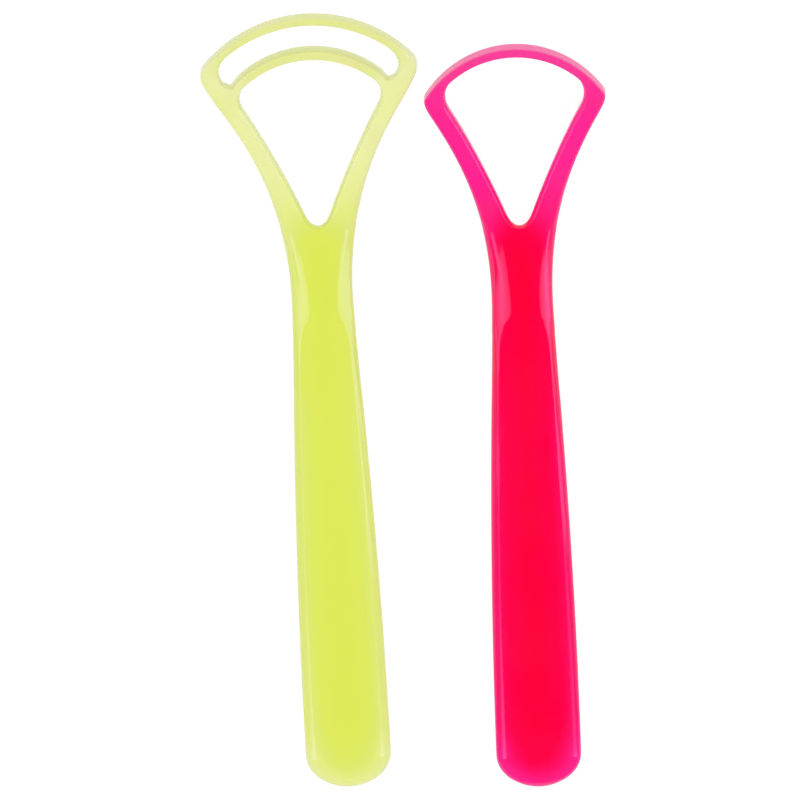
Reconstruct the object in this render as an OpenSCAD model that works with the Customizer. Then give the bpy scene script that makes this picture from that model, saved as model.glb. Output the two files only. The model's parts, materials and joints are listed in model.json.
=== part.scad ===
// A pair of one-piece moulded tongue scrapers, one with a double blade and one with a
// single blade. They lie on their backs, side by side, with their thumb panels up.
// In each scraper x runs across, y from the round end of the handle to the blade, z up.

/* [Handle] */
// Width of the handle at its widest
handle_w = 19.2; // [17:0.1:21]
// Length of the rounded end
end_l = 7.5; // [6:0.1:9]
// Distance from the round end to the place where the handle starts to narrow
wide_l = 13; // [10:0.5:20]
// Distance from the round end to the narrowest place of the neck
handle_l = 111; // [105:0.5:118]
// Thickness between the flat front and back of the handle
handle_t = 3.6; // [3:0.1:4.4]
// Width of the rounded flank beside the thumb panel, at the neck
flank_w = 1.3; // [0.8:0.05:1.6]
// Width of the same flank at the round end
end_flank_w = 2.5; // [2:0.1:3]
// Distance from the top of the arch over the thumb panel to the neck's narrowest place
arch_gap = 5.9; // [4:0.1:8]
// Length over which the arch widens to the panel's full width
arch_l = 7; // [5:0.5:12]
// How much higher the panel lies at its arch than along the handle
panel_rise = 0.6; // [0.3:0.05:0.8]

/* [Neck] */
// Width of the neck at its narrowest
neck_w = 13.8; // [12:0.1:16]
// Thickness that the neck would have if its back were domed as its front is
neck_t = 5.3; // [5:0.1:6]
// Distance from the narrowest place to the crotch between the arms
neck_l = 15.5; // [12:0.5:18]
// Distance from the narrowest place to the start of the bend
bend_gap = 8; // [6:0.5:12]
// Radius of the bend's middle surface
bend_r = 110; // [90:5:140]
// Angle at which the blades stand to the handle
pitch = 17; // [10:0.5:20]

/* [Head] */
// Thickness of the arms
arm_t = 4.4; // [4:0.1:5]
// Depth of the blades, square to the head
blade_d = 4.6; // [3.8:0.1:5]
// How much further in the front of a scraping edge lies than its back
blade_inset = 0.25; // [0:0.05:0.4]
// Width of the bevel along the inner edges of the arms
arm_bevel = 0.9; // [0.6:0.05:1.2]
// Rounding of the blades' long edges
blade_bevel = 0.2; // [0.15:0.05:0.4]
// Half-width of the opening where its sides straighten above the crotch
crotch_half_w = 2.8; // [2.5:0.1:3.5]
// Height of that place above the crotch
crotch_h = 2.7; // [2.4:0.1:3.6]
// Height above the crotch at which the opening's upper corners start
open_h = 26.9; // [25.5:0.1:28]

/* [Double blade] */
// Half-width of the opening where its upper corners start
double_open_half_w = 15.1; // [14.5:0.1:15.5]
// Half-width of the head where the outer corners start
double_half_w = 19.7; // [19:0.1:20.2]
// Height of that place above the crotch
double_half_h = 25.9; // [25:0.1:27]
// Radius of the outer blade's scraping edge
double_outer_r = 32.7; // [32.2:0.1:34]
// Radial thickness of the outer blade
double_outer_t = 1.9; // [1.5:0.1:2.3]
// Radius of the inner blade's scraping edge
double_inner_r = 25.5; // [25:0.1:26]
// Radial thickness of the inner blade
double_inner_t = 2.4; // [2:0.1:2.8]
// Height of both blades' centre above the crotch
double_centre_h = 14.5; // [14:0.1:15]

/* [Single blade] */
// Half-width of the opening where its upper corners start
single_open_half_w = 14.8; // [14.2:0.1:15.3]
// Half-width of the head where the outer corners start
single_half_w = 19.2; // [18.6:0.1:19.8]
// Height of that place above the crotch
single_half_h = 25.4; // [24.5:0.1:26.5]
// Radius of the scraping edge
single_r = 24.7; // [24:0.1:25.5]
// Radial thickness of the blade
single_t = 2.2; // [1.8:0.1:2.6]
// Height of the blade's centre above the crotch
single_centre_h = 15.5; // [15:0.1:16]

/* [Set] */
// Distance between the round ends of the two handles
set_gap = 42.7; // [40:0.1:60]
// Turn of the double-blade scraper on the table
double_turn_angle = 3.27; // [0:0.01:5]
// Turn of the single-blade scraper on the table
single_turn_angle = 2.07; // [0:0.01:5]

/* [Hidden] */

// Heights along the scraper
crotch_y = handle_l + neck_l;
arch_y = handle_l - arch_gap;
bend_y = handle_l + bend_gap;
back_gap = 7;
back_y = handle_l - back_gap;

// How the panel climbs to its arch, how soon the dome starts above it, and over what
// length the flanks below it change to the dome's curve
rise_l = 30;
fade_l = 1.2;
flank_l = 10;

// Stations along each stretch, and points round each section
end_steps = 7;
rim_steps = 4;
body_steps = 20;
arch_steps = 5;
neck_steps = 7;
crotch_steps = 4;
arm_steps = 12;
turn_steps = 4;
arc_steps = 12;
half_points = 12;
full_points = 24;
wall_points = 3;
arm_points = half_points + 1 + wall_points;
split_from = 3;
split_to = 9;

// Reaches of the curves' handles, in mm, and their directions, in degrees from +y
wide_reach = 50;
narrow_reach = 12;
flare_reach = 19;
crotch_reach = 1.3;
side_reach = 1.6;
open_reach = 8;
crotch_angle = 22;
side_angle = 32;
corner_reach = 2.1;
open_angle = 51;
arm_blend_steps = 14;
crotch_lag = 1.4;

// The outer corners of each head: direction of the arm, the handles' reaches, and the
// angle on the blade where the corner ends
double_arm_angle = 35.4;
double_arm_reach = 9.3;
double_corner_reach = 6.5;
double_edge_reach = 3.3;
double_angle = 43.5;
single_arm_angle = 32;
single_arm_reach = 10.7;
single_corner_reach = 3.8;
single_edge_reach = 1.5;
single_angle = 36.9;

// The slot between the two blades: place of its end, and the curves round it
slot_half_w = 18;
slot_h = 32.5;
slot_in_reach = 0.5;
slot_in_edge_reach = 0.6;
slot_out_reach = 2.2;
slot_out_edge_reach = 3.2;
slot_in_angle = 49.5;
slot_out_angle = 52;

// Shares of a section's width and height, from its inner edge to its outer edge
arm_shares = [[0, 1], [0.25, 1], [0.47, 1], [0.66, 0.995], [0.85, 0.96], [0.96, 0.76], [1, 0]];
blade_shares = [[0, 1], [0.25, 1], [0.5, 1], [0.75, 1], [0.92, 0.98], [1, 0.86], [1, 0]];
wall_share = 0.62;
tuck_share = 0.1;

// Shares that shape the body: how far the panel and the neck at the crotch are crowned,
// how wide their middles are, how much of the bend the back follows, and how much
// closer the stations lie at the arch
panel_crown_share = 0.12;
neck_crown_share = 0.6;
neck_panel_share = 0.8;
arch_top_share = 0.57;
back_rise_share = 0.8;
close_share = 0.7;

function lerp(a, b, t) = a + (b - a) * t;
function ease(t) = let (u = min(1, max(0, t))) u * u * (3 - 2 * u);
function steps(n, from, to) = [for (i = [0:n]) lerp(from, to, i / n)];
function after(list) = [for (i = [1:len(list) - 1]) list[i]];
function before(list) = [for (i = [0:len(list) - 2]) list[i]];
function reversed(list) = [for (i = [len(list) - 1:-1:0]) list[i]];
function way(a) = [sin(a), cos(a)];

// Cubic curve through its ends, and its direction
function curve(p, t) = pow(1 - t, 3) * p[0] + 3 * pow(1 - t, 2) * t * p[1]
    + 3 * (1 - t) * t * t * p[2] + pow(t, 3) * p[3];
function unit(v) = v / norm(v);
function curve_way(p, t) = unit(pow(1 - t, 2) * (p[1] - p[0])
    + 2 * (1 - t) * t * (p[2] - p[1]) + t * t * (p[3] - p[2]));
function curve_rows(p, ts) = [for (t = ts) concat(curve(p, t), curve_way(p, t))];
function arc_rows(c, r, angles) =
    [for (a = angles) [r * cos(a), c + r * sin(a), -sin(a), cos(a)]];
// Share of a rising curve at which it reaches a height
function reach_of(p, y, lo = 0, hi = 1, n = 24) = n == 0 ? lo
    : let (mid = (lo + hi) / 2)
      curve(p, mid).y < y ? reach_of(p, y, mid, hi, n - 1) : reach_of(p, y, lo, mid, n - 1);

// The middle surface lies flat in the handle and climbs through the bend to the head
function tilt(y) = asin(min(sin(pitch), max(0, (y - bend_y) / bend_r)));
function rise(y) = bend_r * (1 - cos(tilt(y)))
    + max(0, y - bend_y - bend_r * sin(pitch)) * tan(pitch);
function at(x, y, v) =
    [x, y - v * sin(tilt(y)), handle_t / 2 + rise(y) + v * cos(tilt(y))];
function mirrored(ring) = [for (p = ring) [-p.x, p.y, p.z]];

// One side of a body section: a middle out to its crease, then a rounded flank, whose
// curve would be full high at the middle. w is the half-width, k the middle's share of
// it, and b how far the middle is crowned, from 0, flat, to 1, the flank's own curve
function edge_height(k) = sqrt(1 - k * k);
function middle_share(k, b) = lerp(edge_height(k), 1, b);
function crown_of(k, share) = (share - edge_height(k)) / (1 - edge_height(k));
function profile(i, w, k, b, full) =
    let (a = lerp(asin(k), 90, (i - split_from) / split_from),
         u = k * i / split_from)
    i <= split_from ? [w * u, full * lerp(edge_height(k), edge_height(u), b)]
    : [w * sin(a), full * cos(a)];

// Half-width of the thumb panel, which ends in an arch with a straight top
function flank(y) =
    lerp(end_flank_w, flank_w, max(0, y - end_l) / (arch_y - end_l));
function arch_share(y) =
    lerp(arch_top_share, 1, sqrt(1 - pow(1 - min(1, max(0, (arch_y - y) / arch_l)), 2)));
function panel_side(w, y) =
    y < end_l ? (w - end_flank_w * w / (handle_w / 2))
        * sqrt(max(0, 1 - pow((end_l - y) / (end_l - end_flank_w), 2)))
    : w - flank(min(y, arch_y));
function panel_share(w, y) = max(tuck_share, panel_side(w, y) / w);

// Share of the half-width that the middle takes, how far it is crowned, and its height.
// Below the arch the crown makes the panel meet flanks that keep the dome's curve
function neck_part(y) = ease((y - arch_y) / (crotch_y - arch_y));
function front_share(w, y) =
    lerp(panel_share(w, y) * arch_share(y), neck_panel_share, neck_part(y));
function panel_full(w, y) =
    let (full = function (y, k) front_height(y) / middle_share(k, panel_crown_share))
    lerp(full(arch_y, front_share(arch_w, arch_y)), full(y, panel_share(w, y)),
        ease((arch_y - y) / flank_l));
function front_crown(w, y) =
    y < arch_y ? crown_of(front_share(w, y), front_height(y) / panel_full(w, y))
    : lerp(panel_crown_share, lerp(1, neck_crown_share, neck_part(y)), ease((y - arch_y) / fade_l));
function rim(y) = y < rim_w ? sqrt(1 - pow(1 - y / rim_w, 2)) : 1;
function front_height(y) =
    rim(y) * lerp(handle_t / 2 + panel_rise * ease(1 + (y - arch_y) / rise_l),
        neck_t / 2, ease((y - arch_y) / fade_l));
function back_share(w, y) = y < end_l ? front_share(w, y)
    : lerp((w - flank(min(y, arch_y))) / w, neck_panel_share, ease((y - back_y) / neck_l));
function back_crown(y) = neck_crown_share * ease((y - back_y) / neck_l);
function back_height(y) = rim(y) * (handle_t / 2 + back_rise_share * rise(y));

function half_ring(w, y, k, b, height) =
    [for (i = [0:2 * split_from])
        let (q = profile(i, w, k, b, height / middle_share(k, b))) at(q.x, y, q.y)];
function body_ring(w, y) =
    let (front = half_ring(w, y, front_share(w, y), front_crown(w, y), front_height(y)),
         back = half_ring(w, y, back_share(w, y), back_crown(y), -back_height(y)),
         right = concat(front, after(reversed(back))))
    concat(right, reversed(mirrored(before(after(right)))));

// Half-width and place of each section of the handle, from its round end to the crotch
handle_curve = [[handle_w / 2, wide_l], [handle_w / 2, wide_l + wide_reach],
    [neck_w / 2, handle_l - narrow_reach], [neck_w / 2, handle_l]];
rim_w = handle_t / 2;
rim_angle = acos(1 - rim_w / end_l);
function end_row(a) = [handle_w / 2 * sin(a), end_l * (1 - cos(a))];
arch_at = reach_of(handle_curve, arch_y);
arch_w = curve(handle_curve, arch_at).x;
function handle_rows() =
    concat(
        [for (a = after(steps(rim_steps, 0, rim_angle))) end_row(a)],
        [for (a = after(steps(end_steps, rim_angle, 90))) end_row(a)],
        [for (t = steps(body_steps, 0, 1))
            curve(handle_curve, arch_at * t * lerp(1 + close_share, 1, t))],
        [for (t = after(steps(arch_steps, arch_at, 1))) curve(handle_curve, t)]);

// The outer edge of the arms, from the neck to the corner of the head
function flare_curve(half_w, half_h, angle, reach) =
    [[neck_w / 2, handle_l], [neck_w / 2, handle_l + flare_reach],
     [half_w, crotch_y + half_h] - reach * way(angle), [half_w, crotch_y + half_h]];
function corner_curve(from, from_way, reach, edge_reach, c, r, a) =
    [from, from + reach * from_way,
     [r * cos(a), c + r * sin(a)] - edge_reach * [-sin(a), cos(a)],
     [r * cos(a), c + r * sin(a)]];

// The edge of the opening, from the crotch to the corner below the blade
crotch_curve = [[0, crotch_y], [crotch_reach, crotch_y],
    [crotch_half_w, crotch_y + crotch_h] - side_reach * way(crotch_angle),
    [crotch_half_w, crotch_y + crotch_h]];
function side_curve(half_w) =
    [crotch_curve[3], crotch_curve[3] + open_reach * way(crotch_angle),
     [half_w, crotch_y + open_h] - open_reach * way(side_angle), [half_w, crotch_y + open_h]];

function arm_outer_rows(flare) =
    let (low = reach_of(flare, crotch_y - arm_bevel),
         mid = reach_of(flare, crotch_y + crotch_lag))
    concat(curve_rows(flare, steps(crotch_steps, low, mid)),
           curve_rows(flare, after(steps(arm_steps, mid, 1))));
function arm_inner_rows(side) = concat(curve_rows(crotch_curve, steps(crotch_steps, 0, 1)),
    curve_rows(side, after(steps(arm_steps, 0, 1))));

function turn_rows(curve) = curve_rows(curve, after(steps(2 * turn_steps, 0, 1)));
function blade_rows(c, r, a) = arc_rows(c, r, after(steps(arc_steps, a, 90)));

function outer_rows(flare, reach, edge_reach, c, r, a) =
    let (turn = corner_curve(flare[3], unit(flare[3] - flare[2]), reach, edge_reach, c, r, a))
    concat(arm_outer_rows(flare), turn_rows(turn), blade_rows(c, r, a));
function inner_rows(half_w, c, r) =
    let (side = side_curve(half_w),
         turn = corner_curve(side[3], way(side_angle), corner_reach, corner_reach,
             c, r, open_angle))
    concat(arm_inner_rows(side), turn_rows(turn), blade_rows(c, r, open_angle));

// How far along the head a station is: 0 at the crotch, 1 once the arm is flat, and
// 2 where the blade has its own section
arm_count = crotch_steps + arm_steps;
split_at = arm_count + turn_steps;
function arm_part(k) = ease(k / arm_blend_steps);
function blade_part(k) = ease((k - arm_count) / (2 * turn_steps));
function edge_bevel(k) = lerp(arm_bevel, blade_bevel, blade_part(k));
function head_height(k, crown) =
    lerp(lerp(crown, arm_t / 2, arm_part(k)), blade_d / 2, blade_part(k));

function section_shares(i, k) =
    lerp(lerp(profile(i, 1, neck_panel_share, neck_crown_share, 1), arm_shares[i], arm_part(k)),
        blade_shares[i], blade_part(k));
function crotch_full(height) = height / middle_share(neck_panel_share, neck_crown_share);

// Direction square to a row, from the opening outwards
function out(row) = [row[3], -row[2]];
// How far the scraping side leans in, v being the height from -1, the back, to 1, the
// front, and u the place across the section
function lean(k, row, v, u = 1) = let (from = blade_shares[split_from].x,
        to = blade_shares[split_from + 1].x)
    blade_inset * blade_part(k) * (1 + v) / 2 * min(1, max(0, (u - from) / (to - from))) * out(row);

// Points of the wall between two rows of edges, from the back to the front
function wall_ring(row, side, bevel, front, back, k = 0) =
    let (tuck = side * tuck_share * bevel * out(row),
         place = function (v) [row[0], row[1]] + (v == 0 ? [0, 0] : tuck) - lean(k, row, v))
    [for (v = [-wall_share, 0, wall_share])
        let (p = place(v)) at(p.x, p.y, v * (v < 0 ? back : front))];

// Section of an arm or of a whole blade, from the front of its inner edge round the
// outer edge to the back. pull moves the middle of its faces towards the slot's end
function arm_ring(k, inner, outer, pull) =
    let (front = head_height(k, crotch_full(front_height(crotch_y))),
         back = head_height(k, crotch_full(back_height(crotch_y))),
         edge_share = section_shares(0, k).y,
         bevel = edge_bevel(k),
         e = [inner[0], inner[1]] + bevel * out(inner),
         o = [outer[0], outer[1]],
         mid_share = section_shares(split_from, k).x,
         m = lerp(e, o, mid_share) + pull)
    concat(
        [for (j = [0:half_points])
            let (i = min(j, half_points - j),
                 q = section_shares(i, k),
                 v = j <= half_points / 2 ? q.y : -q.y,
                 p = (i <= split_from ? lerp(e, m, q.x / mid_share)
                     : lerp(m, o, (q.x - mid_share) / (1 - mid_share)))
                     - lean(k, outer, v, blade_shares[i].x))
            at(p.x, p.y, v * (j <= half_points / 2 ? front : back))],
        wall_ring(inner, 1, bevel, edge_share * front, edge_share * back));

// Right half of the loop, as a list of sections
function loop_rings(inner, outer, last, pull) =
    [for (k = [1:last])
        arm_ring(k, inner[k], outer[k], pull * ease((k - arm_count + 2) / (turn_steps + 2)))];

// Face lists between neighbouring sections, which share their order of points
function ids(start, n) = [for (i = [0:n - 1]) start + i];
function id_rings(start, n, count) = [for (r = [0:count - 1]) ids(start + r * n, n)];
function strip(a, b) = [for (j = [0:len(a) - 1]) let (n = (j + 1) % len(a))
    each [[a[j], b[j], b[n]], [a[j], b[n], a[n]]]];
function strips(rings) = [for (i = [0:len(rings) - 2]) each strip(rings[i], rings[i + 1])];
function flat(rings) = [for (r = rings) each r];

function body_rings(flare) =
    let (low = reach_of(flare, crotch_y - arm_bevel))
    [for (row = concat(handle_rows(),
            [for (t = after(steps(neck_steps, 0, low))) curve(flare, t)]))
        body_ring(row[0], row[1])];

// The body's points start with one at the round end, which closes its first section
function end_fan() = [for (j = [0:full_points - 1]) [0, 1 + j, 1 + (j + 1) % full_points]];
function body_ids(count) = id_rings(1, full_points, count);
function wall_start(count) = 1 + count * full_points;

// First section of an arm: half of the last body section, closed by the crotch's wall
function first_right(count) = let (last = wall_start(count) - full_points)
    concat(ids(last, half_points + 1), ids(wall_start(count), wall_points));
function first_left(count) = let (last = wall_start(count) - full_points)
    concat([last], reversed(ids(last + half_points, half_points)),
        ids(wall_start(count), wall_points));
function crotch_wall() = wall_ring([0, crotch_y, 1, 0], 1, arm_bevel,
    front_height(crotch_y), back_height(crotch_y));

// The single-blade scraper's points and faces
function single_shell() =
    let (flare = flare_curve(single_half_w, single_half_h, single_arm_angle, single_arm_reach),
         c = crotch_y + single_centre_h,
         outer = outer_rows(flare, single_corner_reach, single_edge_reach, c, single_r,
             single_angle),
         inner = inner_rows(single_open_half_w, c, single_r - single_t),
         body = body_rings(flare),
         right = loop_rings(inner, outer, len(inner) - 1, [0, 0]),
         loop = concat(right, [for (r = reversed(before(right))) mirrored(r)]),
         loop_at = wall_start(len(body)) + wall_points)
    [concat([at(0, 0, 0)], flat(body), crotch_wall(), flat(loop)),
     concat(end_fan(),
        strips(body_ids(len(body))),
        strips(concat([first_right(len(body))], id_rings(loop_at, arm_points, len(loop)),
            [first_left(len(body))])))];

// Section of the outer blade past the slot's end: its front, outer side and back, then
// the wall of the slot
function outer_blade_ring(k, slot, outer) =
    let (h = head_height(k, arm_t / 2), bevel = edge_bevel(k),
         e = [slot[0], slot[1]] + bevel * out(slot),
         o = [outer[0], outer[1]])
    concat(
        [for (j = [split_from:split_to])
            let (q = blade_shares[min(j, half_points - j)],
                 v = j <= half_points / 2 ? q.y : -q.y,
                 u = (q.x - blade_shares[split_from].x) / (1 - blade_shares[split_from].x),
                 p = lerp(e, o, u) - lean(k, outer, v, q.x))
            at(p.x, p.y, h * v)],
        wall_ring(slot, 1, bevel, h, h));

// Section of the inner blade: its back, the wall of the opening, its front and the
// wall of the slot
function inner_blade_ring(k, inner, slot) =
    let (h = head_height(k, arm_t / 2), bevel = edge_bevel(k),
         e = [inner[0], inner[1]] + bevel * out(inner),
         s = [slot[0], slot[1]] - bevel * out(slot),
         face = function (v) [for (i = [0:split_from]) lerp(e, s - lean(k, slot, v), i / split_from)])
    concat(
        [for (p = reversed(face(-1))) at(p.x, p.y, -h)],
        wall_ring(inner, 1, bevel, h, h),
        [for (p = face(1)) at(p.x, p.y, h)],
        reversed(wall_ring(slot, -1, bevel, h, h, k)));

// The split section, taken apart into the first sections of the two blades
function outer_end(ring, wall) = concat([for (i = [split_from:split_to]) ring[i]], wall);
function inner_end(ring, wall) = concat([for (i = [split_to:arm_points - 1]) ring[i]],
    [for (i = [0:split_from]) ring[i]], reversed(wall));

// The edges of the slot, from its end to the middle
slot_end = [slot_half_w, crotch_y + slot_h];
function slot_rows(side, reach, edge_reach, c, r, a) = concat(
    curve_rows(corner_curve(slot_end, [side, 0], reach, edge_reach, c, r, a),
        after(steps(turn_steps, 0, 1))),
    blade_rows(c, r, a));

// Shift of the split section's middle, which bends its faces to the slot's end
function split_pull(inner, outer) =
    let (bevel = edge_bevel(split_at), i = inner[split_at], o = outer[split_at],
         e = [i[0], i[1]] + bevel * out(i))
    slot_end - [0, bevel] - lerp(e, [o[0], o[1]], section_shares(split_from, split_at).x);

// The double-blade scraper's points and faces
function double_shell() =
    let (flare = flare_curve(double_half_w, double_half_h, double_arm_angle, double_arm_reach),
         c = crotch_y + double_centre_h,
         outer = outer_rows(flare, double_corner_reach, double_edge_reach, c, double_outer_r,
             double_angle),
         inner = inner_rows(double_open_half_w, c, double_inner_r - double_inner_t),
         slot_in = slot_rows(-1, slot_in_reach, slot_in_edge_reach, c, double_inner_r,
             slot_in_angle),
         slot_out = slot_rows(1, slot_out_reach, slot_out_edge_reach, c,
             double_outer_r - double_outer_t, slot_out_angle),
         h = head_height(split_at, arm_t / 2),
         wall = wall_ring([slot_end.x, slot_end.y, 1, 0], 1, edge_bevel(split_at), h, h),
         body = body_rings(flare),
         right = loop_rings(inner, outer, split_at, split_pull(inner, outer)),
         left = [for (r = reversed(right)) mirrored(r)],
         outer_half = [for (k = [1:len(slot_out)])
             outer_blade_ring(split_at + k, slot_out[k - 1], outer[split_at + k])],
         inner_half = [for (k = [1:len(slot_in)])
             inner_blade_ring(split_at + k, inner[split_at + k], slot_in[k - 1])],
         outer_all = concat(outer_half, [for (r = reversed(before(outer_half))) mirrored(r)]),
         inner_all = concat(inner_half, [for (r = reversed(before(inner_half))) mirrored(r)]),
         outer_n = len(outer_half[0]),
         right_at = wall_start(len(body)) + wall_points,
         left_at = right_at + len(right) * arm_points,
         wall_at = left_at + len(left) * arm_points,
         outer_at = wall_at + 2 * wall_points,
         inner_at = outer_at + len(outer_all) * outer_n,
         right_ids = id_rings(right_at, arm_points, len(right)),
         left_ids = id_rings(left_at, arm_points, len(left)),
         right_wall = ids(wall_at, wall_points),
         left_wall = ids(wall_at + wall_points, wall_points))
    [concat([at(0, 0, 0)], flat(body), crotch_wall(), flat(right), flat(left),
        wall, mirrored(wall), flat(outer_all), flat(inner_all)),
     concat(end_fan(),
        strips(body_ids(len(body))),
        strips(concat([first_right(len(body))], right_ids)),
        strips(concat(left_ids, [first_left(len(body))])),
        strips(concat([outer_end(right_ids[len(right) - 1], right_wall)],
            id_rings(outer_at, outer_n, len(outer_all)), [outer_end(left_ids[0], left_wall)])),
        strips(concat([inner_end(right_ids[len(right) - 1], right_wall)],
            id_rings(inner_at, len(inner_half[0]), len(inner_all)),
            [inner_end(left_ids[0], left_wall)])))];

// The origin is under the middle of the set's footprint
double_parts = double_shell();
single_parts = single_shell();
function placed(list, x, a) =
    [for (p = list) [x + p.x * cos(a) - p.y * sin(a), p.x * sin(a) + p.y * cos(a)]];
footprint = concat(placed(double_parts[0], -set_gap / 2, double_turn_angle),
    placed(single_parts[0], set_gap / 2, single_turn_angle));
function middle(i) = (min([for (p = footprint) p[i]]) + max([for (p = footprint) p[i]])) / 2;

module scraper(parts, x, turn)
    translate([x - middle(0), -middle(1), 0]) rotate(turn)
        polyhedron(points = parts[0], faces = parts[1]);

module double_blade_scraper() color([0.86, 0.92, 0.36])
    scraper(double_parts, -set_gap / 2, double_turn_angle);
module single_blade_scraper() color([0.98, 0.06, 0.27])
    scraper(single_parts, set_gap / 2, single_turn_angle);

double_blade_scraper();
single_blade_scraper();
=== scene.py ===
"""A pair of translucent plastic tongue scrapers on a white studio table.

Each scraper is one moulding: a flat handle with a thumb panel, a domed neck, two arms and
one or two arched blades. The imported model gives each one's true form, and the classes here
give it its smooth surface and its finish. Lengths are in metres and angles in radians.
"""

from __future__ import annotations

import json
import logging
import math
from dataclasses import dataclass, field, replace
from enum import Enum

import bpy
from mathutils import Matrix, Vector
from mathutils.bvhtree import BVHTree
from mathutils.kdtree import KDTree

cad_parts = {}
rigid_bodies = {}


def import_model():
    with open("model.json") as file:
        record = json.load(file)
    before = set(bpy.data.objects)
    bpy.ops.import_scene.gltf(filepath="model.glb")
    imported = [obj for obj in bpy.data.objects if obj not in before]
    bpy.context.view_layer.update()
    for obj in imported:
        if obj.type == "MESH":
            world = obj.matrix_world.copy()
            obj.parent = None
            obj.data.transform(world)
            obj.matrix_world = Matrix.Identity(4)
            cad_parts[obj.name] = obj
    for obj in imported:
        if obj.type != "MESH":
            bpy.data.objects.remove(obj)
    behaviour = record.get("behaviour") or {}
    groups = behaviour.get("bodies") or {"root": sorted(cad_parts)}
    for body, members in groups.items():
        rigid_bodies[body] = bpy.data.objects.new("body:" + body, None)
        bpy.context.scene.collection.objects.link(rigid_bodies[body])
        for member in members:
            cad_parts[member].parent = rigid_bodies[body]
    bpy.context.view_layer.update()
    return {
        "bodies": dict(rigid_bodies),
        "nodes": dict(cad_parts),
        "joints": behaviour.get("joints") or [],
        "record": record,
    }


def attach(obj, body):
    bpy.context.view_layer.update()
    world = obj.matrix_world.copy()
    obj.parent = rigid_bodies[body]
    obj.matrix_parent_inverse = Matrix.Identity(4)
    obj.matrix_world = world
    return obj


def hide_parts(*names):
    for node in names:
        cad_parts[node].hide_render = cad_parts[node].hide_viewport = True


LOG = logging.getLogger("tongue_scrapers")
MM = 0.001
DEPTH = "plastic_depth"
DOUBLE_SKIN = "double_blade_skin"
SINGLE_SKIN = "single_blade_skin"


class Side(Enum):
    """The two sides of the table that a softbox stands on."""

    LEFT = -1
    RIGHT = 1


def select_only(piece: bpy.types.Object) -> None:
    """Makes one object the active and only selected one.

    Args:
        piece: The object that the next operators work on.
    """
    bpy.ops.object.select_all(action="DESELECT")
    piece.select_set(True)
    bpy.context.view_layer.objects.active = piece


@dataclass(frozen=True)
class Tint:
    """The plastic's colour at one mean depth, paler where thin with painted light from the table.
    """

    depth: float
    colour: tuple[float, float, float]


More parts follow.
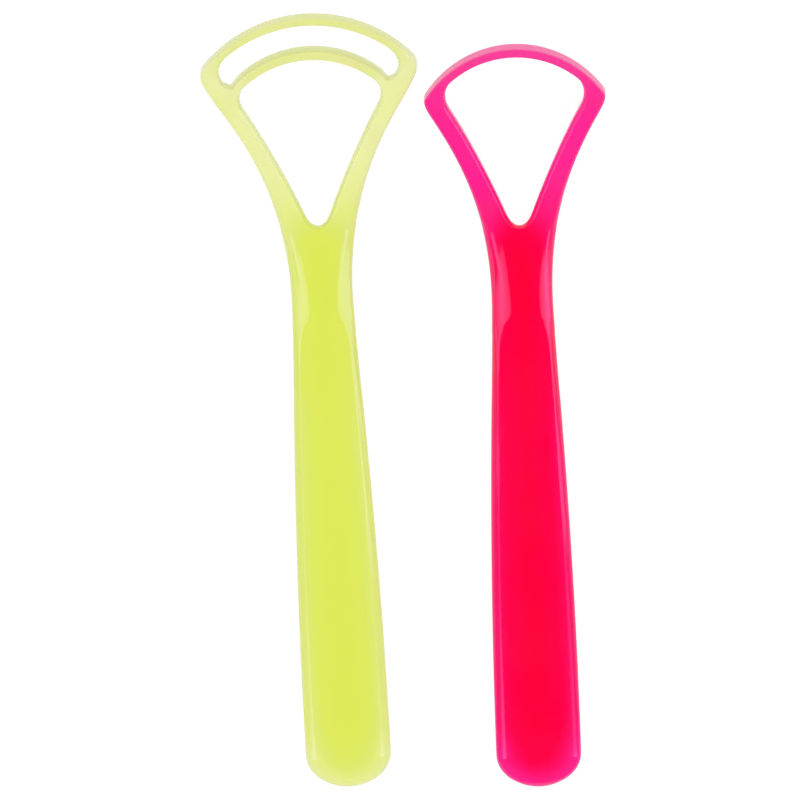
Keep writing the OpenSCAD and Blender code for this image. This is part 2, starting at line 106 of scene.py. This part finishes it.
@dataclass(frozen=True)
class TintedPlastic:
    """Glossy dyed plastic, deep where thick, paler where thin with painted light shining through.

    Attributes:
        name: The record's material slot.
        tints_with_painted_light: The colours, from the thinnest plastic to the thickest.
        cloud: The colour of the faint clouds in thin plastic.
        glow: How far red, green and blue light spread inside, against glow_depth.
        glow_share: How much of the light spreads inside.
        glow_depth: How far the light spreads inside.
        cloud_size: The size of the clouds.
        cloud_detail: How many finer noises the clouds have.
        cloud_levels: The noise at which a cloud begins and at which it is densest.
        cloud_depths: How far along the depth colours the clouds are full and how far along they
            end.
        cloud_share: How much a cloud hides at its densest.
        roughness: The roughness of the moulded surface.
        scuff_detail: How many finer noises the scuffs have.
        scuff_levels: The noise of the smoothest and of the dullest place.
        scuff_range: The roughness of those two places, against the roughness.
        ior: How much the plastic bends light.
        specular: How strongly it mirrors.
        wave_size: The length of the surface's waves.
        wave_detail: How many finer noises the waves have.
        wave_height: The height of the surface's waves.
    """

    name: str
    tints_with_painted_light: tuple[Tint, ...]
    cloud: tuple[float, float, float]
    glow: tuple[float, float, float]
    glow_share: float = 0.25
    glow_depth: float = 2.5 * MM
    cloud_size: float = 9 * MM
    cloud_detail: float = 2.0
    cloud_levels: tuple[float, float] = (0.5, 0.75)
    cloud_depths: tuple[float, float] = (0.25, 0.65)
    cloud_share: float = 0.45
    roughness: float = 0.08
    scuff_detail: float = 4.0
    scuff_levels: tuple[float, float] = (0.3, 0.7)
    scuff_range: tuple[float, float] = (0.8, 1.3)
    ior: float = 1.5
    specular: float = 0.5
    wave_size: float = 22 * MM
    wave_detail: float = 1.0
    wave_height: float = 0.02 * MM

    def material(self) -> bpy.types.Material:
        """Builds the material.

        Returns:
            The material, with its colour taken from the piece's plastic_depth attribute.
        """
        material = bpy.data.materials.new(self.name)
        material.use_nodes = True
        tree = material.node_tree
        shader = tree.nodes["Principled BSDF"]
        shader.inputs["IOR"].default_value = self.ior
        shader.inputs["Specular IOR Level"].default_value = self.specular
        shader.inputs["Subsurface Weight"].default_value = self.glow_share
        shader.inputs["Subsurface Radius"].default_value = self.glow
        shader.inputs["Subsurface Scale"].default_value = self.glow_depth
        place = tree.nodes.new("ShaderNodeTexCoord").outputs["Object"]
        tree.links.new(self._colour_with_painted_light(tree, place), shader.inputs["Base Color"])
        tree.links.new(self._roughness(tree, place), shader.inputs["Roughness"])
        tree.links.new(self._waves(tree, place), shader.inputs["Normal"])
        return material

    def _colour_with_painted_light(
        self, tree: bpy.types.NodeTree, place: bpy.types.NodeSocket
    ) -> bpy.types.NodeSocket:
        """Colour by depth of plastic behind each point, with painted light and clouds where thin.

        Args:
            tree: The material's node tree.
            place: The output that gives the place on the piece.

        Returns:
            The colour output.
        """
        depth = tree.nodes.new("ShaderNodeAttribute")
        depth.attribute_name = DEPTH
        thinnest = self.tints_with_painted_light[0].depth
        thickest = self.tints_with_painted_light[-1].depth
        share = map_range(tree, depth.outputs["Fac"], (thinnest, thickest), (0, 1))
        # The thin end of the ramp is painted light from the table shining through thin plastic.
        stops = [
            ((tint.depth - thinnest) / (thickest - thinnest), (*tint.colour, 1))
            for tint in self.tints_with_painted_light
        ]
        clouds = noise(tree, place, self.cloud_size, self.cloud_detail)
        density = map_range(tree, clouds, self.cloud_levels, (0, self.cloud_share))
        thinness = map_range(tree, share, self.cloud_depths, (1, 0))
        clouded = tree.nodes.new("ShaderNodeMix")
        clouded.data_type = "RGBA"
        clouded.inputs["B"].default_value = (*self.cloud, 1)
        tree.links.new(calculate(tree, "MULTIPLY", density, thinness), clouded.inputs["Factor"])
        tree.links.new(colour_ramp(tree, share, stops), clouded.inputs["A"])
        return clouded.outputs["Result"]

    def _roughness(
        self, tree: bpy.types.NodeTree, place: bpy.types.NodeSocket
    ) -> bpy.types.NodeSocket:
        """Roughness with the faint scuffs of handled plastic.

        Args:
            tree: The material's node tree.
            place: The output that gives the place on the piece.

        Returns:
            The roughness output.
        """
        scuffs = noise(tree, place, self.cloud_size, self.scuff_detail)
        smoothest, dullest = self.scuff_range
        target = (self.roughness * smoothest, self.roughness * dullest)
        return map_range(tree, scuffs, self.scuff_levels, target)

    def _waves(
        self, tree: bpy.types.NodeTree, place: bpy.types.NodeSocket
    ) -> bpy.types.NodeSocket:
        """Slow waves, as a moulding keeps from its shrinking.

        Args:
            tree: The material's node tree.
            place: The output that gives the place on the piece.

        Returns:
            The normal output.
        """
        bump = tree.nodes.new("ShaderNodeBump")
        bump.inputs["Distance"].default_value = self.wave_height
        height = noise(tree, place, self.wave_size, self.wave_detail)
        tree.links.new(height, bump.inputs["Height"])
        return bump.outputs["Normal"]


def noise(
    tree: bpy.types.NodeTree, place: bpy.types.NodeSocket, size: float, detail: float
) -> bpy.types.NodeSocket:
    """Adds a soft noise.

    Args:
        tree: The material's node tree.
        place: The output that gives the place on the piece.
        size: The size of its clouds.
        detail: How many finer noises are added to it.

    Returns:
        The noise, from 0 to 1.
    """
    node = tree.nodes.new("ShaderNodeTexNoise")
    node.inputs["Scale"].default_value = 1 / size
    node.inputs["Detail"].default_value = detail
    tree.links.new(place, node.inputs["Vector"])
    return node.outputs["Fac"]


def map_range(
    tree: bpy.types.NodeTree,
    value: bpy.types.NodeSocket,
    source: tuple[float, float],
    target: tuple[float, float],
) -> bpy.types.NodeSocket:
    """Maps one range of values onto another, and clamps it there.

    Args:
        tree: The node tree.
        value: The output that is mapped.
        source: The range that the values come from.
        target: The range that they are mapped to.

    Returns:
        The mapped output.
    """
    node = tree.nodes.new("ShaderNodeMapRange")
    node.inputs["From Min"].default_value, node.inputs["From Max"].default_value = source
    node.inputs["To Min"].default_value, node.inputs["To Max"].default_value = target
    tree.links.new(value, node.inputs["Value"])
    return node.outputs["Result"]


def calculate(
    tree: bpy.types.NodeTree, operation: str, *values: bpy.types.NodeSocket
) -> bpy.types.NodeSocket:
    """Adds a Math node.

    Args:
        tree: The node tree.
        operation: What it works out.
        *values: The outputs that it works on.

    Returns:
        The output with the result.
    """
    node = tree.nodes.new("ShaderNodeMath")
    node.operation = operation
    for value, socket in zip(values, node.inputs):
        tree.links.new(value, socket)
    return node.outputs[0]


def colour_ramp(
    tree: bpy.types.NodeTree,
    value: bpy.types.NodeSocket,
    stops: list[tuple[float, tuple[float, float, float, float]]],
) -> bpy.types.NodeSocket:
    """Turns a value into a colour.

    Args:
        tree: The node tree.
        value: The output that the colour goes by.
        stops: Values from 0 to 1 in rising order, each with its colour.

    Returns:
        The colour output.
    """
    node = tree.nodes.new("ShaderNodeValToRGB")
    elements = node.color_ramp.elements
    elements[0].position, elements[0].color = stops[0]
    elements[1].position, elements[1].color = stops[-1]
    for position, colour in stops[1:-1]:
        elements.new(position).color = colour
    tree.links.new(value, node.inputs["Fac"])
    return node.outputs["Color"]


def grey(level: float) -> tuple[float, float, float, float]:
    """Gives a grey as a colour.

    Args:
        level: How light it is, where 1 is white.

    Returns:
        The colour.
    """
    return (level, level, level, 1)


# Dye colours, paler in thin plastic with painted light from the white table shining through.
LIME_PLASTIC = TintedPlastic(
    name="lime_plastic",
    tints_with_painted_light=(
        Tint(2.8 * MM, (0.73, 0.77, 0.285)),
        Tint(3.3 * MM, (0.75, 0.79, 0.31)),
        Tint(3.9 * MM, (0.79, 0.815, 0.39)),
        Tint(4.4 * MM, (0.80, 0.84, 0.37)),
        Tint(5.0 * MM, (0.77, 0.825, 0.25)),
        Tint(5.5 * MM, (0.72, 0.80, 0.18)),
        Tint(5.85 * MM, (0.715, 0.80, 0.148)),
        Tint(6.1 * MM, (0.715, 0.80, 0.118)),
        Tint(6.4 * MM, (0.725, 0.805, 0.112)),
        Tint(6.9 * MM, (0.71, 0.80, 0.098)),
    ),
    cloud=(0.80, 0.74, 0.36),
    glow=(1.0, 1.0, 0.3),
)
# Dye colours, paler in thin plastic with painted light from the white table shining through.
RED_PLASTIC = TintedPlastic(
    name="red_plastic",
    tints_with_painted_light=(
        Tint(3.05 * MM, (0.91, 0.05, 0.32)),
        Tint(4.45 * MM, (0.98, 0.018, 0.285)),
        Tint(5.0 * MM, (0.98, 0.01, 0.2)),
        Tint(5.5 * MM, (0.98, 0.003, 0.12)),
        Tint(5.85 * MM, (0.98, 0.001, 0.082)),
        Tint(6.1 * MM, (0.98, 0.0, 0.062)),
        Tint(6.4 * MM, (0.98, 0.0, 0.06)),
        Tint(6.9 * MM, (0.98, 0.0, 0.041)),
    ),
    cloud=(0.95, 0.04, 0.22),
    glow=(1.0, 0.1, 0.3),
)


@dataclass
class Scraper:
    """One scraper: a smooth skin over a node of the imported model, and its finish.

    Attributes:
        node: The node that the skin stands for.
        body: The body that it moves with.
        name: The skin's own name.
        plastic: The finish.
        levels: How often the surface is subdivided.
        sharp_angle: The turn from face to face at which an edge is sharp.
        panel_slope: The steepest that the thumb panel is.
        panel_turn: The turn from face to face at the edge of the thumb panel.
        panel_top: Where along the table that edge gives way to the arch.
        crease: How tight the sharp edges stay.
        panel_crease: How tight the edge of the thumb panel stays.
        weld_gap: How far apart the corners of touching triangles may be.
        probe_rings: The slants, in degrees, of the rays that measure the depth of plastic.
        probe_spokes: How many of those rays have each slant.
        probe_lean: How much of the normal's sideways part the rays keep.
        probe_start: How far below the surface the rays start.
        deepest: The greatest depth that light reaches.
        blur: How far light spreads sideways in the plastic.
        blur_reach: How far off the light that still counts comes from.
        skin: The finished piece.
    """

    node: str
    body: str
    name: str
    plastic: TintedPlastic
    levels: int = 2
    sharp_angle: float = math.radians(30)
    panel_slope: float = math.radians(11)
    panel_turn: float = math.radians(6.5)
    panel_top: float = 18.5 * MM
    crease: float = 0.45
    panel_crease: float = 0.9
    weld_gap: float = 0.002 * MM
    probe_rings: tuple[float, ...] = (20, 40, 60, 78)
    probe_spokes: int = 8
    probe_lean: float = 0.35
    probe_start: float = 0.05 * MM
    deepest: float = 14 * MM
    blur: float = 3 * MM
    blur_reach: float = 6 * MM
    skin: bpy.types.Object = field(init=False)

    def build(self, frame: dict) -> bpy.types.Object:
        """Builds the scraper and joins it to its body.


        Returns:
            The finished piece.
        """
        self._copy(frame["nodes"][self.node])
        self._weld()
        self._crease_edges()
        self._measure_depth()
        self._smooth()
        self.skin.data.materials.clear()
        self.skin.data.materials.append(self.plastic.material())
        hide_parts(self.node)
        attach(self.skin, self.body)
        LOG.info("%s: %d faces", self.name, len(self.skin.data.polygons))
        return self.skin

    def _copy(self, solid: bpy.types.Object) -> None:
        """Copies the node's mesh into an object of its own.

        Args:
            solid: The node's object, which is left as it is.
        """
        self.skin = bpy.data.objects.new(self.name, solid.data.copy())
        bpy.context.scene.collection.objects.link(self.skin)
        select_only(self.skin)

    def _weld(self) -> None:
        """Joins the loose triangles into one closed surface of four-sided faces."""
        bpy.ops.object.mode_set(mode="EDIT")
        bpy.ops.mesh.select_all(action="SELECT")
        bpy.ops.mesh.remove_doubles(threshold=self.weld_gap)
        bpy.ops.mesh.tris_convert_to_quads(face_threshold=math.pi, shape_threshold=math.pi)
        bpy.ops.object.mode_set(mode="OBJECT")
        corners = [len(face.vertices) for face in self.skin.data.polygons]
        LOG.info("%s: %d quads, %d triangles", self.name, corners.count(4), corners.count(3))

    def _crease_edges(self) -> None:
        """Keeps the moulding's edges tight when the surface is subdivided."""
        bpy.ops.object.mode_set(mode="EDIT")
        bpy.ops.mesh.select_mode(type="EDGE")
        bpy.ops.mesh.select_all(action="DESELECT")
        bpy.ops.object.mode_set(mode="OBJECT")
        self._select_panel_edge()
        bpy.ops.object.mode_set(mode="EDIT")
        bpy.ops.transform.edge_crease(value=self.panel_crease - self.crease)
        bpy.ops.mesh.edges_select_sharp(sharpness=self.sharp_angle)
        bpy.ops.transform.edge_crease(value=self.crease)
        bpy.ops.object.mode_set(mode="OBJECT")

    def _select_panel_edge(self) -> None:
        """Selects the edge round the thumb panel, which is blunt near its arch."""
        mesh = self.skin.data
        sides: dict[tuple[int, int], list[Vector]] = {edge.key: [] for edge in mesh.edges}
        for face in mesh.polygons:
            for key in face.edge_keys:
                sides[key].append(face.normal)
        level = math.cos(self.panel_slope)
        for edge in mesh.edges:
            one, other = sides[edge.key]
            below_arch = all(mesh.vertices[index].co.y < self.panel_top for index in edge.vertices)
            if below_arch and max(one.z, other.z) > level and one.angle(other) > self.panel_turn:
                edge.select = True

    def _measure_depth(self) -> None:
        """Writes the mean depth of plastic behind each point as an attribute."""
        mesh = self.skin.data
        points = [vertex.co.copy() for vertex in mesh.vertices]
        tree = BVHTree.FromPolygons(points, [tuple(face.vertices) for face in mesh.polygons])
        depths = [
            self._depth_at(tree, vertex.co, self._inward(vertex.normal)) for vertex in mesh.vertices
        ]
        depth = mesh.attributes.new(DEPTH, "FLOAT", "POINT")
        for index, value in enumerate(self._blurred(points, depths)):
            depth.data[index].value = value

    def _inward(self, normal: Vector) -> Vector:
        """Middle direction of the rays from a point, as light comes from above and below.

        Args:
            normal: The surface's normal at the point.

        Returns:
            The direction into the plastic, nearer to the vertical than the normal is.
        """
        lean = self.probe_lean
        return -Vector((normal.x * lean, normal.y * lean, normal.z)).normalized()

    def _depth_at(self, tree: BVHTree, point: Vector, inward: Vector) -> float:
        """Mean length of rays that leave a point into the plastic.

        Args:
            tree: The surface.
            point: The point on the surface that the rays leave.
            inward: The direction into the plastic.

        Returns:
            The mean length, each ray counted up to the deepest that light reaches.
        """
        across = inward.orthogonal().normalized()
        other = inward.cross(across)
        total = 0.0
        count = 0
        for slant in self.probe_rings:
            for spoke in range(self.probe_spokes):
                turn = math.tau * spoke / self.probe_spokes
                side = across * math.cos(turn) + other * math.sin(turn)
                ray = inward * math.cos(math.radians(slant)) + side * math.sin(math.radians(slant))
                start = point + inward * self.probe_start
                _, _, _, length = tree.ray_cast(start, ray, self.deepest)
                total += self.deepest if length is None else length
                count += 1
        return total / count

    def _blurred(self, points: list[Vector], depths: list[float]) -> list[float]:
        """Blurs the depth as far as light spreads sideways in the plastic.

        Args:
            points: The points of the surface.
            depths: The depth at each of them.

        Returns:
            The blurred depth at each point.
        """
        shares = [0.0] * len(points)
        for face in self.skin.data.polygons:
            for index in face.vertices:
                shares[index] += face.area / len(face.vertices)
        finder = KDTree(len(points))
        for index, point in enumerate(points):
            finder.insert(point, index)
        finder.balance()
        blurred = []
        for point in points:
            total = 0.0
            weight = 0.0
            for _, index, distance in finder.find_range(point, self.blur_reach):
                share = shares[index] * math.exp(-((distance / self.blur) ** 2))
                total += share * depths[index]
                weight += share
            blurred.append(total / weight)
        return blurred

    def _smooth(self) -> None:
        """Subdivides the surface and shades it smooth."""
        select_only(self.skin)
        finer = self.skin.modifiers.new("finer", "SUBSURF")
        finer.levels = self.levels
        finer.render_levels = self.levels
        bpy.ops.object.modifier_apply(modifier=finer.name)
        bpy.ops.object.shade_smooth()


@dataclass(frozen=True)
class Softbox:
    """A lamp beside the table, which glossy plastic mirrors as a streak of light.

    Attributes:
        name: The lamp's name.
        side: The side of the table that it stands on.
        lean: How far it stands from overhead.
        reach: How far it is from the middle of the table.
        width: Its size across the table.
        ends: Where it begins and ends along the table.
        brightness: How bright it looks from straight on, where 1 is white.
        colour: The colour of its light.
        spread: The angle that its light spreads over.
        turn: How far it is turned towards the heads.
        only: The one piece that it lights, or nothing where it lights both.
    """

    name: str
    side: Side
    lean: float
    reach: float
    width: float
    ends: tuple[float, float]
    brightness: float = 4.1
    colour: tuple[float, float, float] = (0.5, 0.42, 0.98)
    spread: float = math.radians(65)
    turn: float = 0.0
    only: str = ""

    def build(self) -> None:
        """Adds the lamp, which is only mirrored, and brightest when seen from straight on."""
        away = Vector((self.side.value * math.sin(self.lean), 0, math.cos(self.lean)))
        lamp = add_lamp(
            name=self.name,
            place=away * self.reach + Vector((0, sum(self.ends) / 2, 0)),
            size=(self.width, self.ends[1] - self.ends[0]),
            turn=(0, self.side.value * self.lean, -self.side.value * self.turn),
            brightness=self.brightness,
        )
        lamp.data.color = self.colour
        lamp.data.spread = self.spread
        lamp.data.energy *= self._straight_share()
        lamp.visible_diffuse = False
        if self.only:
            lit = bpy.data.collections.new(f"{self.name}_lights")
            lit.objects.link(bpy.data.objects[self.only])
            lamp.light_linking.receiver_collection = lit

    def _straight_share(self) -> float:
        """Share of the power that keeps the lamp as bright from straight on as an open one."""
        half = self.spread / 2
        return 1 - half / math.tan(half)


@dataclass(frozen=True)
class SoftboxPair:
    """Two softboxes on one side of one scraper, beside its neck and beside its handle.

    Attributes:
        scraper: The piece that they light.
        side: The side of the table that they stand on.
        join: Where along the table one ends and the other begins.
        handle_turn: How far the one beside the handle is turned towards the head.
        lean: How far they stand from overhead.
        reach: How far they are from the middle of the table.
        head_end: Where the one beside the neck ends, well past the head.
        foot_end: Where the one beside the handle ends.
        neck_width: The size across the table of the one beside the neck.
        handle_width: The size across the table of the one beside the handle.
        handle_brightness: How bright the one beside the handle looks from straight on.
        handle_spread: The angle over which it shines, small so that its streaks taper.
    """

    scraper: str
    side: Side
    join: float
    handle_turn: float
    lean: float = math.radians(42)
    reach: float = 0.6
    head_end: float = 0.65
    foot_end: float = -0.2
    neck_width: float = 0.36
    handle_width: float = 0.36
    handle_brightness: float = 4.7
    handle_spread: float = math.radians(24)

    def build(self) -> None:
        """Adds both lamps."""
        place = f"{self.side.name.lower()}_{self.scraper}"
        Softbox(
            name=f"neck_softbox_{place}",
            side=self.side,
            lean=self.lean,
            reach=self.reach,
            width=self.neck_width,
            ends=(self.join, self.head_end),
            only=self.scraper,
        ).build()
        Softbox(
            name=f"handle_softbox_{place}",
            side=self.side,
            lean=self.lean,
            reach=self.reach,
            width=self.handle_width,
            ends=(self.foot_end, self.join),
            brightness=self.handle_brightness,
            spread=self.handle_spread,
            turn=self.handle_turn,
            only=self.scraper,
        ).build()


DOUBLE_LEFT = SoftboxPair(DOUBLE_SKIN, Side.LEFT, join=-0.022, handle_turn=math.radians(12))
DOUBLE_RIGHT = SoftboxPair(DOUBLE_SKIN, Side.RIGHT, join=-0.006, handle_turn=math.radians(10))
SINGLE_LEFT = replace(DOUBLE_LEFT, scraper=SINGLE_SKIN, neck_width=0.56)
SINGLE_RIGHT = replace(DOUBLE_RIGHT, scraper=SINGLE_SKIN, lean=math.radians(52))
CARD_LEFT = Softbox(
    name="card_left",
    side=Side.LEFT,
    lean=math.radians(69.5),
    reach=0.1,
    width=0.026,
    ends=(0.01, 0.07),
    brightness=2.2,
)
CARD_RIGHT = Softbox(
    name="card_right",
    side=Side.RIGHT,
    lean=math.radians(68),
    reach=0.22,
    width=0.11,
    ends=(0.01, 0.15),
    only=DOUBLE_SKIN,
)
CARD_FAR_RIGHT = replace(CARD_RIGHT, name="card_far_right", brightness=2.2, only=SINGLE_SKIN)


def add_lamp(
    name: str,
    place: Vector,
    size: tuple[float, float],
    turn: tuple[float, float, float],
    brightness: float,
) -> bpy.types.Object:
    """Adds a flat rectangular lamp.

    Args:
        name: The lamp's name.
        place: Its middle.
        size: Its width and length.
        turn: Its rotation.
        brightness: How bright its face looks, where 1 is white.

    Returns:
        The lamp.
    """
    bpy.ops.object.light_add(type="AREA", location=place, rotation=turn)
    lamp = bpy.context.object
    lamp.name = name
    lamp.data.shape = "RECTANGLE"
    lamp.data.size, lamp.data.size_y = size
    lamp.data.energy = brightness * math.pi * size[0] * size[1]
    lamp.visible_camera = False
    return lamp


@dataclass
class Studio:
    """The white table, the lamps, the pale surroundings and the camera overhead.

    Attributes:
        table_size: The table's length and width.
        table_gap: How far the table lies under the scrapers' flat backs.
        table_white: How white the table is to the light that it throws back.
        table_glow: How light the table shows of itself.
        table_shade_share: How much of the light on the table shows, which makes its faint shadows.
        softboxes: The lamps that are mirrored.
        fill_brightness: How bright the light from overhead is, where 1 is white.
        fill_size: Its length and width.
        fill_height: Its height.
        room: How far up a direction points, where 1 is overhead, and how light the room is there.
        side_walls: How light the room is to the left and right, against head and foot.
        wall_range: How far along the table a direction points where side_walls ends, and where
            head and foot begin.
        camera_height: How high the camera is.
        picture_width: How much of the table the picture takes in.
        sharp_height: The height at which that width holds.
        aim: The place on the table that is in the middle of the picture.
        camera_lean: How far the camera leans to the right.
    """

    table_size: float = 3.0
    table_gap: float = 0.02 * MM
    table_white: float = 0.85
    table_glow: float = 0.9
    table_shade_share: float = 0.14
    softboxes: tuple[SoftboxPair | Softbox, ...] = (
        DOUBLE_LEFT,
        DOUBLE_RIGHT,
        SINGLE_LEFT,
        SINGLE_RIGHT,
        CARD_LEFT,
        CARD_RIGHT,
        CARD_FAR_RIGHT,
    )
    fill_brightness: float = 1.3
    fill_size: float = 2.4
    fill_height: float = 0.8
    room: tuple[tuple[float, float], ...] = ((0.3, 1.0), (0.38, 0.15), (0.5, 0.15), (0.8, 0.0))
    side_walls: float = 0.5
    wall_range: tuple[float, float] = (0.4, 0.8)
    camera_height: float = 5.0
    picture_width: float = 0.18
    sharp_height: float = 5 * MM
    aim: tuple[float, float] = (-0.66 * MM, 0.03 * MM)
    camera_lean: float = math.radians(1.0)

    def build(self) -> None:
        """Adds everything that isn't the object."""
        self._table()
        self._surroundings()
        for softbox in self.softboxes:
            softbox.build()
        self._fill()
        self._camera()

    def _table(self) -> None:
        """Adds the table top, white to the eye and with a faint shadow."""
        bpy.ops.mesh.primitive_plane_add(size=self.table_size, location=(0, 0, -self.table_gap))
        table = bpy.context.object
        table.name = "table_top"
        table.data.materials.append(self._table_white())

    def _table_white(self) -> bpy.types.Material:
        """Builds the table's material.

        Returns:
            White paper that shows as the background and takes a faint shadow.
        """
        material = bpy.data.materials.new("table_white")
        material.use_nodes = True
        tree = material.node_tree
        tree.nodes.remove(tree.nodes["Principled BSDF"])
        paper = tree.nodes.new("ShaderNodeBsdfDiffuse")
        paper.inputs["Color"].default_value = grey(self.table_white)
        shade = tree.nodes.new("ShaderNodeBsdfDiffuse")
        shade.inputs["Color"].default_value = grey(self.table_shade_share)
        glow = tree.nodes.new("ShaderNodeEmission")
        glow.inputs["Strength"].default_value = self.table_glow
        seen = tree.nodes.new("ShaderNodeAddShader")
        tree.links.new(shade.outputs[0], seen.inputs[0])
        tree.links.new(glow.outputs[0], seen.inputs[1])
        choice = tree.nodes.new("ShaderNodeMixShader")
        tree.links.new(seen_directly(tree), choice.inputs[0])
        tree.links.new(paper.outputs[0], choice.inputs[1])
        tree.links.new(seen.outputs[0], choice.inputs[2])
        tree.links.new(choice.outputs[0], tree.nodes["Material Output"].inputs["Surface"])
        return material

    def _surroundings(self) -> None:
        """Sets low white backdrops at head and foot, in a room that gets darker overhead."""
        world = bpy.data.worlds.new("room")
        bpy.context.scene.world = world
        world.use_nodes = True
        tree = world.node_tree
        way = tree.nodes.new("ShaderNodeTexCoord").outputs["Generated"]
        parts = tree.nodes.new("ShaderNodeSeparateXYZ")
        tree.links.new(way, parts.inputs[0])
        stops = [(height, grey(level)) for height, level in self.room]
        colour = colour_ramp(tree, parts.outputs["Z"], stops)
        along = calculate(tree, "ABSOLUTE", parts.outputs["Y"])
        level = map_range(tree, along, self.wall_range, (self.side_walls, 1))
        background = tree.nodes["Background"]
        tree.links.new(colour, background.inputs["Color"])
        tree.links.new(level, background.inputs["Strength"])

    def _fill(self) -> None:
        """Adds the soft light from overhead, which no surface mirrors."""
        lamp = add_lamp(
            name="overhead_fill",
            place=Vector((0, 0, self.fill_height)),
            size=(self.fill_size, self.fill_size),
            turn=(0, 0, 0),
            brightness=self.fill_brightness,
        )
        lamp.visible_glossy = False

    def _camera(self) -> None:
        """Adds the camera, straight above the pair and far away."""
        data = bpy.data.cameras.new("overhead_camera")
        distance = self.camera_height - self.sharp_height
        data.lens = data.sensor_width * distance / self.picture_width
        data.clip_end = 2 * self.camera_height
        camera = bpy.data.objects.new(data.name, data)
        aim = Vector((*self.aim, self.sharp_height))
        away = Vector((math.sin(self.camera_lean), 0, math.cos(self.camera_lean)))
        camera.location = aim + away * distance
        camera.rotation_euler = (0, self.camera_lean, 0)
        bpy.context.scene.collection.objects.link(camera)
        bpy.context.scene.camera = camera


def seen_directly(tree: bpy.types.NodeTree) -> bpy.types.NodeSocket:
    """Tells the rays that show the background from those that only carry light.

    Args:
        tree: The node tree of a part of the background.

    Returns:
        An output that is 1 for rays from the camera, mirrored rays and rays through glass.
    """
    rays = tree.nodes.new("ShaderNodeLightPath").outputs
    seen = calculate(tree, "MAXIMUM", rays["Is Camera Ray"], rays["Is Glossy Ray"])
    return calculate(tree, "MAXIMUM", seen, rays["Is Transmission Ray"])


def main() -> None:
    """Builds the pair, the studio and the camera."""
    logging.basicConfig(level=logging.INFO, format="%(name)s %(message)s")
    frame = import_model()
    bpy.context.scene.view_settings.view_transform = "Standard"
    Scraper("double_blade_scraper", "double_blade", DOUBLE_SKIN, LIME_PLASTIC).build(frame)
    Scraper("single_blade_scraper", "single_blade", SINGLE_SKIN, RED_PLASTIC).build(frame)
    Studio().build()


if __name__ == "__main__":
    main()
